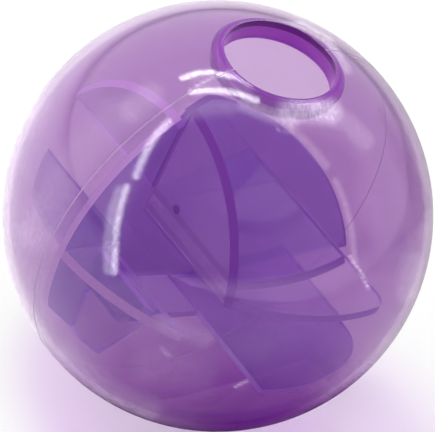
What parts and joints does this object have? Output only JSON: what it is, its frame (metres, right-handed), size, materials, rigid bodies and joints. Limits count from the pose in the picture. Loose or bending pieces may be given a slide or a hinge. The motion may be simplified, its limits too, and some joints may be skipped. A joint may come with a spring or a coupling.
{
  "type": "treat dispensing ball",
  "caption": "Hollow see-through pet ball with a round treat hole in its seam and a maze of flat baffles inside that slows the treats down",
  "frame": {"origin": "the ball's lowest point with the treat hole straight up; the ball's centre is one radius above it", "axes": "+Z out of the treat hole along its axis, +X from the left half shell to the right half shell across the seam, Y in the seam's plane"},
  "size_m": [0.127, 0.127, 0.1247],
  "materials": {
    "shell": "clear violet, polished",
    "maze": "clear violet, polished"
  },
  "bodies": {
    "root": {"left_half_shell": "shell", "right_half_shell": "shell", "divider_plate": "maze", "entry_baffle": "maze", "entry_side_baffle": "maze", "guard_baffle": "maze", "rear_baffle": "maze", "corner_baffle": "maze", "outer_baffle": "maze", "sill_baffle": "maze", "lower_entry_fin": "maze", "lower_corner_fin": "maze"}
  },
  "joints": []
}
